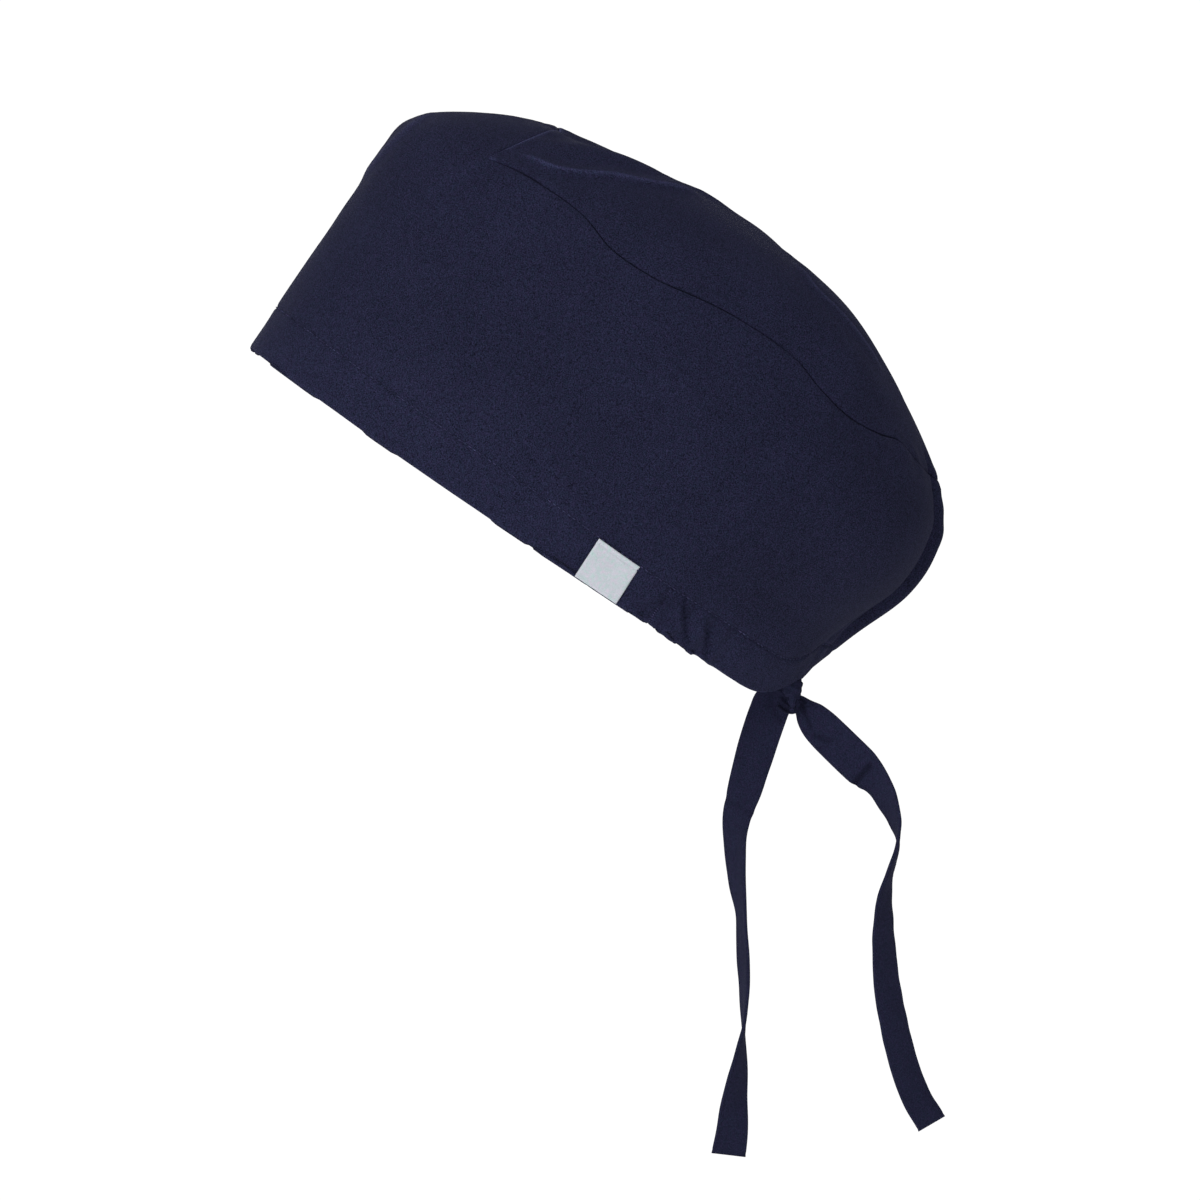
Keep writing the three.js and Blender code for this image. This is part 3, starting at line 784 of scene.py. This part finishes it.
def make_camera():
    """The photograph's camera, far off on the wearer's left and level."""
    data = bpy.data.cameras.new("camera")
    data.sensor_width = SENSOR
    data.lens = SENSOR * CAMERA_DISTANCE / PHOTO_FRAME
    data.clip_end = 60
    camera = new_object("camera", data)
    camera.location = (CAMERA_DISTANCE, PHOTO_MIDDLE[1], PHOTO_MIDDLE[2])
    look_at(camera, PHOTO_MIDDLE)
    bpy.context.scene.camera = camera


def make_light(name, place, size, power):
    """A square soft light that faces the middle of the cap, and isn't seen itself."""
    data = bpy.data.lights.new(name, "AREA")
    data.size = size
    data.energy = power
    light = new_object(name, data)
    light.location = place
    look_at(light, PHOTO_MIDDLE)
    light.visible_camera = False


def for_camera(tree, otherwise, seen):
    """A value that is seen for the camera's own rays, and otherwise for all the rest."""
    path = tree.nodes.new("ShaderNodeLightPath")
    value = tree.nodes.new("ShaderNodeMapRange")
    value.inputs["To Min"].default_value = otherwise
    value.inputs["To Max"].default_value = seen
    tree.links.new(path.outputs["Is Camera Ray"], value.inputs["Value"])
    return value.outputs[0]


def make_world():
    """Soft light from all sides, on a plain white ground."""
    world = bpy.data.worlds.new("studio")
    bpy.context.scene.world = world
    world.use_nodes = True
    tree = world.node_tree
    ground = tree.nodes["Background"]
    ground.inputs["Color"].default_value = (1, 1, 1, 1)
    tree.links.new(for_camera(tree, GROUND_LIGHT, GROUND_SEEN), ground.inputs["Strength"])


def make_floor():
    """A plain pale disc, well under the ties' ends."""
    turns = np.linspace(0, 2 * math.pi, FLOOR_CORNERS + 1)[:-1]
    level = cad_box[0][2] - FLOOR_BELOW
    points = [(FLOOR_RADIUS * math.cos(a), FLOOR_RADIUS * math.sin(a), level) for a in turns]
    floor = add_mesh("floor", points, [range(len(points))], smooth=False)
    material = bpy.data.materials.new("white_floor")
    material.use_nodes = True
    tree = material.node_tree
    shader = tree.nodes["Principled BSDF"]
    shader.inputs["Base Color"].default_value = (0.9, 0.9, 0.9, 1)
    shader.inputs["Roughness"].default_value = 0.9
    shader.inputs["Emission Color"].default_value = (1, 1, 1, 1)
    tree.links.new(for_camera(tree, FLOOR_LIGHT, FLOOR_SEEN), shader.inputs["Emission Strength"])
    floor.data.materials.append(material)


# The cap

def puckers_at_seam(u, off):
    """The cloth's small waves where the crown seam draws it in."""
    swell = 0.22 * MM * bell(off - 3.5 * MM, 3 * MM)
    puckers = waves("seam", u, off * 0.25) * bell(off, 9 * MM)
    return swell + puckers * smoothstep(off, 0, 1.5 * MM)


def over_the_front(p):
    """1 where the crown seam runs over the crown in front, and 0 along the side."""
    s, h = p[..., 1] / CAP_LENGTH, p[..., 2] / CAP_HEIGHT
    above = smoothstep(h, 0.775, 0.81) * (1 - smoothstep(s, 0.22, 0.28))
    return np.maximum(above, 1 - smoothstep(s, 0.13, 0.155))


def casing_folds(p, u, up):
    """The puckers of the casing behind its bar tack, and the two folds that hang from it."""
    s = p[..., 1]
    within = between(s, GATHER_START - 10 * MM, GATHER_START + 2 * MM, PUCKERS_FADE,
                     PUCKERS_FADE + 20 * MM)
    puckers = within * waves("casing", u, up * 0.4) * bell(up - 5 * MM, 10 * MM)
    tack = 0.8 * MM * bell(s - BAR_TACK, 0.8 * MM) * (up < HEM_HEIGHT)
    return puckers + raised(p, "casing", "casing_behind") - tack


def band_relief(p, u, up, off_seam):
    """How far the band's cloth stands out from its smooth form. u and up are the place on the
    cloth, round the cap and up from the rim, and off_seam is how far below the seam it is."""
    soft = waves("band", u, up) + waves("band_fine", u, up)
    hem = waves("hem", u, up * 0.4) * bell(up - 11 * MM, 12 * MM)
    behind = smoothstep(p[..., 1], GATHER_START, 200 * MM)
    stitch_line = (0.4 + 0.25 * behind) * MM * bell(up - HEM_HEIGHT, 0.75 * MM)
    return soft + hem - stitch_line + raised(p, "front_edge", "front_drape") + \
        casing_folds(p, u, up) + puckers_at_seam(u, off_seam)


def make_band():
    """The side band, with its hem turned up inside the rim and its raw edge under the crown."""
    turns = column_turns()
    u = run_round(turns, 1.0)
    rim, seam = rim_ring(turns), seam_ring(turns)
    hem = ring_above(turns, rim, HEM_HEIGHT)
    s = smooth_shell(turns, 0)[..., 1]
    drawn = between(s, 155 * MM, 168 * MM, PUCKERS_FADE, PUCKERS_FADE + 18 * MM)
    rim = ring_above(turns, rim, drawn * waves("drawn_rim", u) + waves("rim", u) - 0.1 * MM)
    rows, painted_light = [], []

    def add_row(ring, depth, up, off_seam):
        p = shell(turns, ring)
        stand = band_relief(p, u, up, off_seam) - depth
        rows.append(p + outward(turns, ring) * stand[..., None])
        # Painted highlight: a pale line at the rim's edge and a paler hem above it, with pale
        # lines along the front folds
        rim_highlight = 0.15 * bell(up, 1 * MM) + 0.12 * bell(up, 20 * MM)
        painted_light.append(painted_highlight(p, "front_edge", "front_drape") + rim_highlight)

    for up in np.linspace(HEM_HEIGHT + 1.2 * MM, HEM_FOLD * 1.4, HEM_ROWS_INSIDE):
        add_row(ring_above(turns, rim, up), 2 * HEM_FOLD, up, FAR_FROM_SEAM)
    for angle in np.linspace(math.pi, 0, HEM_FOLD_ROWS):
        up = HEM_FOLD * (1 - math.sin(angle))
        depth = HEM_FOLD * (1 - math.cos(angle))
        add_row(ring_above(turns, rim, up), depth, up, FAR_FROM_SEAM)
    by_stitches = HEM_HEIGHT + np.array([-0.9, -0.45, 0, 0.45, 0.9]) * MM
    for up in (*np.linspace(HEM_FOLD * 1.8, HEM_HEIGHT - 1.6 * MM, HEM_ROWS), *by_stitches):
        add_row(lerp(rim, hem, up / HEM_HEIGHT), 0, up, FAR_FROM_SEAM)
    above_hem = 1.8 * MM
    start, end = ring_above(turns, hem, above_hem), ring_above(turns, seam, -PLAIN_FROM_SEAM)
    rise = rise_between(turns, hem, seam)
    for share in np.linspace(0, 1, BAND_ROWS):
        up = HEM_HEIGHT + above_hem + rise * share
        add_row(lerp(start, end, share), 0, up, rise * (1 - share) + PLAIN_ROWS_OFF)
    for off, depth in SEAM_ROLL:
        add_row(ring_above(turns, seam, -off), depth, HEM_HEIGHT + rise, off)
    for above, depth in SEAM_ALLOWANCE:
        add_row(ring_above(turns, seam, above), depth, HEM_HEIGHT + rise, 0)
    grid = to_world(np.array(rows))
    band = sheet_mesh("side_band_cloth", grid, cloth_uv(grid, True), SHEET, CLOTH_LOOK, loop=True,
                      painted_light=np.array(painted_light))
    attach(band, "root")
    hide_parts("side_band", "hem_casing")


def make_crown():
    """The crown panel, from the seam up to the middle line, with its sharp folds."""
    turns = column_turns(CROWN_SPACING, CROWN_SPACING)
    seam = seam_ring(turns)
    u = run_round(turns, 5.0)
    rows, painted_light = [], []

    def add_row(ring, depth, off_seam):
        p = shell(turns, ring)
        in_front = over_the_front(p)
        soft = waves("crown", p[..., 1], p[..., 0]) + puckers_at_seam(u, off_seam)
        edge = 0.25 * MM * in_front * bell(off_seam - 1.0 * MM, 0.9 * MM)
        inset = depth * (1 - 0.9 * in_front)
        stand = soft + raised(p, "crown_ridge", "back_ridge") + edge - inset
        rows.append(p + outward(turns, ring) * stand[..., None])
        # Painted highlight: pale lines along the crown's sharp folds, and along its edge where the
        # seam runs over the front
        seam_highlight = 0.9 * in_front * bell(off_seam - 0.5 * MM, 0.9 * MM)
        painted_light.append(painted_highlight(p, "crown_ridge", "back_ridge") + seam_highlight)

    for off, depth in SEAM_ROLL[::-1]:
        add_row(ring_above(turns, seam, off), depth, off)
    start = ring_above(turns, seam, PLAIN_FROM_SEAM)
    rise = rise_between(turns, seam, SPINE_RING)
    for share in np.linspace(0, 1, CROWN_ROWS):
        add_row(lerp(start, SPINE_RING, share), 0, rise * share + PLAIN_ROWS_OFF)
    grid = np.array(rows)
    middle = shell(turns, SPINE_RING)
    middle[..., 2] += waves("crown", middle[..., 1])
    half = len(turns) // 2
    middle[half + 1:] = middle[half - 1:0:-1]
    grid[-1] = middle
    flat = np.concatenate([grid, grid[:, :1]], axis=1)
    uv = np.stack([flat[..., 0] * 1.2, flat[..., 1] * 1.1], -1)
    crown = sheet_mesh("crown_cloth", to_world(grid), uv, SHEET, CLOTH_LOOK, loop=True, spine=True,
                       painted_light=np.array(painted_light))
    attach(crown, "root")
    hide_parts("crown_panel")


def thread_capsules(name, starts, ends, normals, radius, material):
    """Short stitches as rounded threads, each arched a little off the cloth."""
    points, faces = [], []
    stations, sides = THREAD_STATIONS, THREAD_SIDES
    arch, sunk = 1.3 * radius, 0.6 * radius
    for a, b, n in zip(starts, ends, normals):
        side = unit(np.cross(unit(b - a), n))
        first = len(points)
        for k in range(stations):
            t = k / (stations - 1)
            swell = math.sin(math.pi * min(max(t, 0.04), 0.96)) ** 0.5
            centre = lerp(a, b, t) + n * (arch * math.sin(math.pi * t) - sunk)
            for j in range(sides):
                angle = 2 * math.pi * j / sides
                points.append(centre + radius * swell * (side * math.cos(angle) +
                                                         n * math.sin(angle)))
        for k in range(stations - 1):
            for j in range(sides):
                a0, a1 = first + k * sides + j, first + k * sides + (j + 1) % sides
                faces.append((a0, a0 + sides, a1 + sides, a1))
        faces.append(tuple(first + j for j in range(sides)))
        faces.append(tuple(first + (stations - 1) * sides + j for j in reversed(range(sides))))
    obj = add_mesh(name, points, faces, None, material)
    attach(obj, "root")


def make_hem_stitches():
    """The row of stitches round the top of the hem."""
    turns = np.linspace(0, 2 * math.pi, 9001)
    run = run_along(shell(turns, ring_above(turns, rim_ring(turns), HEM_HEIGHT)))
    count = round(run[-1] / STITCH_PITCH)
    at = np.arange(count) * run[-1] / count
    band_turns = np.append(column_turns(), 2 * math.pi)
    band_run = run_along(shell(band_turns, 1.0))
    places, outs = [], []
    for turn in (np.interp(at, run, turns), np.interp(at + STITCH_LENGTH, run, turns)):
        ring = ring_above(turn, rim_ring(turn), HEM_HEIGHT)
        p, out = shell(turn, ring), outward(turn, ring)
        relief = band_relief(p, np.interp(turn, band_turns, band_run), HEM_HEIGHT, FAR_FROM_SEAM)
        places.append(to_world(p + out * (relief + STITCH_STAND)[..., None]))
        outs.append(tilt(out))
    thread_capsules("hem_stitches", places[0], places[1], outs[0], THREAD_RADIUS, THREAD_LOOK)


def make_bar_tacks():
    """The short upright rows of stitches on both sides that hold the tie in the casing."""
    up = np.arange(1.5 * MM, HEM_HEIGHT + 1 * MM, TACK_PITCH)
    places, outs = [], []
    for shift in (-TACK_HALF_WIDTH, TACK_HALF_WIDTH):
        left, ring = left_side_at(BAR_TACK + shift, up)
        turn, ring = np.append(left, 2 * math.pi - left), np.append(ring, ring)
        out = outward(turn, ring)
        places.append(to_world(shell(turn, ring) - TACK_SUNK * out))
        outs.append(tilt(out))
    thread_capsules("bar_tack_stitches", places[0], places[1], outs[0], THREAD_RADIUS,
                    THREAD_LOOK)


def left_side_at(s, up):
    """A point of the cap's left side, a length up the cloth from the rim at a place along s."""
    s, up = np.broadcast_arrays(s, up)
    ring = np.zeros(s.shape)
    for _ in range(4):
        turn = halve(np.zeros(s.shape), np.full(s.shape, math.pi),
                     lambda angle: smooth_shell(angle, ring)[..., 1] < s, 30)
        ring = ring_above(turn, 0, up)
    return turn, ring


def make_label():
    """The woven label, bare, folded under at its ends and sewn down along its top."""
    across, up = np.linspace(0, 1, LABEL_COLUMNS), np.linspace(0, 1, LABEL_ROWS)
    s, height = np.meshgrid(LABEL_START + LABEL_WIDTH * across, LABEL_HEIGHT * up)
    turn, ring = left_side_at(s, height)
    sewn = LABEL_HEIGHT - 1.6 * MM
    loose = 0.35 * MM * (1 - smoothstep(height, 0, sewn))
    stitch_line = 0.35 * MM * bell(height - sewn, 0.5 * MM)
    inset = np.minimum(np.minimum(across, 1 - across)[None, :] * LABEL_WIDTH,
                       np.minimum(up, 1 - up)[:, None] * LABEL_HEIGHT)
    rounding = 0.3 * MM * (1 - smoothstep(inset, 0, 0.5 * MM))
    lift = 0.95 * MM + loose - stitch_line + waves("label", s, height) - rounding
    grid = to_world(shell(turn, ring) + outward(turn, ring) * lift[..., None])
    label = sheet_mesh("label_weave", grid, cloth_uv(grid, False), LABEL_SHEET, LABEL_LOOK)
    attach(label, "root")
    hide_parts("label")


# The ties and their knot

rim_top = to_world(shell(np.array(math.pi), rim_ring(np.array(math.pi))))
KNOT = rim_top - np.array([0, KNOT_AHEAD, KNOT_BELOW])


def tie_course(rows):
    """A tie's frame at any place along it: middle, across, face direction and width."""
    moves = np.hypot(np.diff(rows["back"]), np.diff(rows["down"]))
    placed = dict(rows, place=np.concatenate([[0], np.cumsum(moves)]))

    def middle(at):
        at = clamp(at, 0, placed["place"][-1])
        return np.stack([along(placed, "place", at, "side") * TIE_WIDTH,
                         along(placed, "place", at, "back") * TIE_DROP,
                         along(placed, "place", at, "down") * -TIE_DROP], -1)

    def course(at):
        at = np.asarray(at, float)
        step = 0.002
        ahead = middle(at + step) - middle(at - step)
        level = unit(np.stack([0 * at, -ahead[..., 2], ahead[..., 1]], -1))
        twist = np.radians(along(placed, "place", at, "twist"))
        across = level * np.cos(twist)[..., None]
        across[..., 0] = np.sin(twist)
        face = unit(np.cross(across, ahead))
        width = along(placed, "place", at, "spread") * TIE_WIDTH
        return middle(at), across, face, width

    return course, placed["place"][-1]


def strap_folds(run, half, folds):
    """How far the folds across a strap press it in. run is from the knot, and half is off the
    strap's middle line."""
    total = 0 * run
    for r0, e0, r1, e1, width, depth in zip(*folds.values()):
        line = np.array([r1 - r0, e1 - e0]) * MM
        from_start = np.stack([run - r0 * MM, half - e0 * MM], -1)
        t = from_start @ line / (line @ line)
        off = from_start - clamp(t, 0, 1)[..., None] * line
        total = total + depth * MM * bell(np.linalg.norm(off, axis=-1), width * MM)
    return total


def strap_bend(run, half, folds, seed):
    """How far a strap bends off its flat: soft waves, the hollow across it, and its folds."""
    soft = 0.28 * MM * ripple(run, half * 0.6, 26 * MM, seed) + \
        0.12 * MM * ripple(run, half, 8 * MM, seed + 1)
    hollow = STRAP_HOLLOW * (2 * half / TIE_WIDTH) ** 2
    return soft - hollow + strap_folds(run, half, folds)


def both_faces(values):
    """A strap's columns over its face and back under it, without its two edges again."""
    return np.concatenate([values, values[:, -2:0:-1]], axis=1)


def make_tie(name, node, rows, tuck, folds, seed):
    """A strap of doubled cloth, folded in at its edges and stitched along both of them. tuck is
    its bunched start inside the knot."""
    rows = {column: np.concatenate([tuck[column], rows[column]]) for column in rows}
    course, length = tie_course(rows)
    at = np.linspace(0, length, STRAP_STATIONS)
    centre, across, face, width = course(at)
    side = np.linspace(-1, 1, STRAP_COLUMNS)
    side = np.sign(side) * (1 - (1 - np.abs(side)) ** 1.5)
    half = width[:, None] / 2 * side[None, :]
    inset = width[:, None] / 2 - np.abs(half)
    run = (at * TIE_DROP)[:, None] + 0 * half
    bunched = 1 - smoothstep(run, 3 * MM, 9 * MM)
    round_edge = np.sqrt(1 - (1 - clamp(inset / STRAP_ROUNDING, 0, 1)) ** 2)
    edge_seam = 1 - 0.4 * bell(inset - EDGE_STITCH, 0.35 * MM)
    end_seam = 1 - 0.5 * bell(run[-1:] - run - EDGE_STITCH, 0.4 * MM)
    thick = STRAP_THICK / 2 * round_edge * edge_seam * end_seam * (1 + 1.3 * bunched)
    pleats = 0.4 * MM * bunched * np.cos(2 * math.pi * half / (2.3 * MM) + run / (3 * MM))
    bend = strap_bend(run, half, folds, seed) + pleats
    middle = centre[:, None, :] + across[:, None, :] * half[..., None] + \
        face[:, None, :] * bend[..., None]
    over = middle + face[:, None, :] * thick[..., None]
    under = middle - face[:, None, :] * thick[..., None]
    loop = np.concatenate([over, under[:, -2:0:-1]], axis=1) + KNOT
    ids = grid_ids(STRAP_STATIONS, loop.shape[1], True, False)
    faces = [tuple(f) for f in quads(ids)]
    flat = np.concatenate([both_faces(half), half[:, :1]], axis=1)
    uv = np.stack([flat, np.broadcast_to(run[:, :1], flat.shape)], -1)
    corner_uv = list(quad_uvs(uv).reshape(-1, 2))
    for row, way in ((0, 1), (-1, -1)):
        near, far = ids[row, :STRAP_COLUMNS], ids[row, STRAP_COLUMNS - 1:][::-1]
        for k in range(STRAP_COLUMNS - 1):
            corners = dict.fromkeys([near[k], near[k + 1], far[k + 1], far[k]][::way])
            faces.append(tuple(corners))
            corner_uv += [(k * MM, run[row, 0])] * len(corners)
    # Painted shade in the straps' folds by their depth, and painted shadow where they come out of
    # the knot under the band
    shaded = both_faces(-FOLD_SHADE * strap_folds(run, half, folds) - KNOT_SHADE * bunched)
    tie = add_mesh(name, loop.reshape(-1, 3), faces, corner_uv, TIE_LOOK,
                   painted_light=shaded.reshape(-1))
    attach(tie, "root")
    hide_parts(node)
    make_tie_stitches(name + "_stitches", course, length, folds, seed)


def make_tie_stitches(name, course, length, folds, seed):
    """The stitches along both edges of a strap, on both of its faces."""
    count = int(length * TIE_DROP / STITCH_PITCH) - SKIPPED_STITCHES
    first = (SKIPPED_STITCHES + np.arange(count)) * STITCH_PITCH / TIE_DROP
    starts, ends, normals = [], [], []
    for way in (1, -1):
        for edge in (1, -1):
            for found, places in ((starts, first), (ends, first + STITCH_LENGTH / TIE_DROP)):
                centre, across, face, width = course(places)
                off = edge * (width / 2 - EDGE_STITCH)
                bend = strap_bend(places * TIE_DROP, off, folds, seed)
                lift = way * SEWN_SHARE * STRAP_THICK / 2 + bend
                found.extend(centre + across * off[:, None] + face * lift[:, None] + KNOT)
            normals.extend(course(first)[2] * way)
    thread_capsules(name, np.array(starts), np.array(ends), np.array(normals),
                    TIE_THREAD_RADIUS, TIE_THREAD_LOOK)


def round_angles(count):
    """Evenly spaced angles of a whole turn."""
    return 2 * math.pi * np.arange(count) / count


def make_knot_wrap():
    """The half knot's pleated turn of cloth round the strands."""
    a = round_angles(WRAP_STATIONS)[:, None]
    b = round_angles(WRAP_SIDES)[None, :]
    pleat = 0.1 * np.cos(7 * b + 1.6 * np.sin(a)) + 0.06 * np.sin(3 * a + 2 * b)
    tube = WRAP_TUBE * (1 + pleat)
    radius = WRAP_RADIUS + tube * np.cos(b)
    x = KNOT_WIDTH * radius * np.cos(a)
    y = KNOT_DEPTH * WRAP_DEPTH * radius * np.sin(a)
    z = KNOT_HEIGHT * WRAP_HEIGHT * tube * np.sin(b)
    cos, sin = math.cos(WRAP_TILT), math.sin(WRAP_TILT)
    points = np.stack([x, y * cos - z * sin - KNOT_LEAN,
                       y * sin + z * cos + WRAP_RISE * KNOT_HEIGHT], -1)
    ids = grid_ids(WRAP_STATIONS, WRAP_SIDES, True, False)
    ids = np.concatenate([ids, ids[:1]])
    wrap = add_mesh("knot_wrap", points.reshape(-1, 3) + KNOT, quads(ids), None, TIE_LOOK)
    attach(wrap, "root")
    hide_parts("knot")


def make_knot_strands():
    """The two strands that cross inside the wrap, and the neck by which they come to it."""
    t = np.linspace(0, 1, STRAND_STATIONS)[:, None]
    b = round_angles(STRAND_SIDES)[None, :]
    full = 0.9 * np.sqrt(np.maximum(0, 1 - (2 * t - 1) ** 4)) + 0.1
    points, faces = [], []
    for which, (lean, start, end) in enumerate(STRANDS):
        pleated = full * (1 + 0.12 * np.cos(4 * b + which))
        x = STRAND_WIDTH * pleated * np.cos(b) + lean * 0.2
        y = STRAND_DEPTH * pleated * np.sin(b) - lean * 0.35 * (t - 0.4)
        z = lerp(start, end, t) + 0 * b
        strand = np.stack([x * KNOT_WIDTH, y * KNOT_DEPTH - KNOT_LEAN, z * KNOT_HEIGHT], -1)
        points.append(strand.reshape(-1, 3))
        ids = which * t.size * b.size + grid_ids(t.size, b.size, True, False)
        faces += [tuple(f[::-1]) for f in quads(ids)]
        faces += [tuple(ids[0, :-1]), tuple(ids[-1, :-1][::-1])]
    strands = add_mesh("knot_strands", np.concatenate(points) + KNOT, faces, None, TIE_LOOK)
    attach(strands, "root")


bpy.context.scene.view_settings.view_transform = "Standard"
make_camera()
make_world()
make_floor()
for light_name, light in LIGHTS.items():
    make_light(light_name, *light)
make_band()
make_crown()
make_hem_stitches()
make_bar_tacks()
make_label()
make_tie("left_tie_strap", "left_tie", LEFT_TIE, LEFT_TUCK, LEFT_STRAP_FOLDS, 41)
make_tie("right_tie_strap", "right_tie", RIGHT_TIE, RIGHT_TUCK, RIGHT_STRAP_FOLDS, 51)
make_knot_wrap()
make_knot_strands()
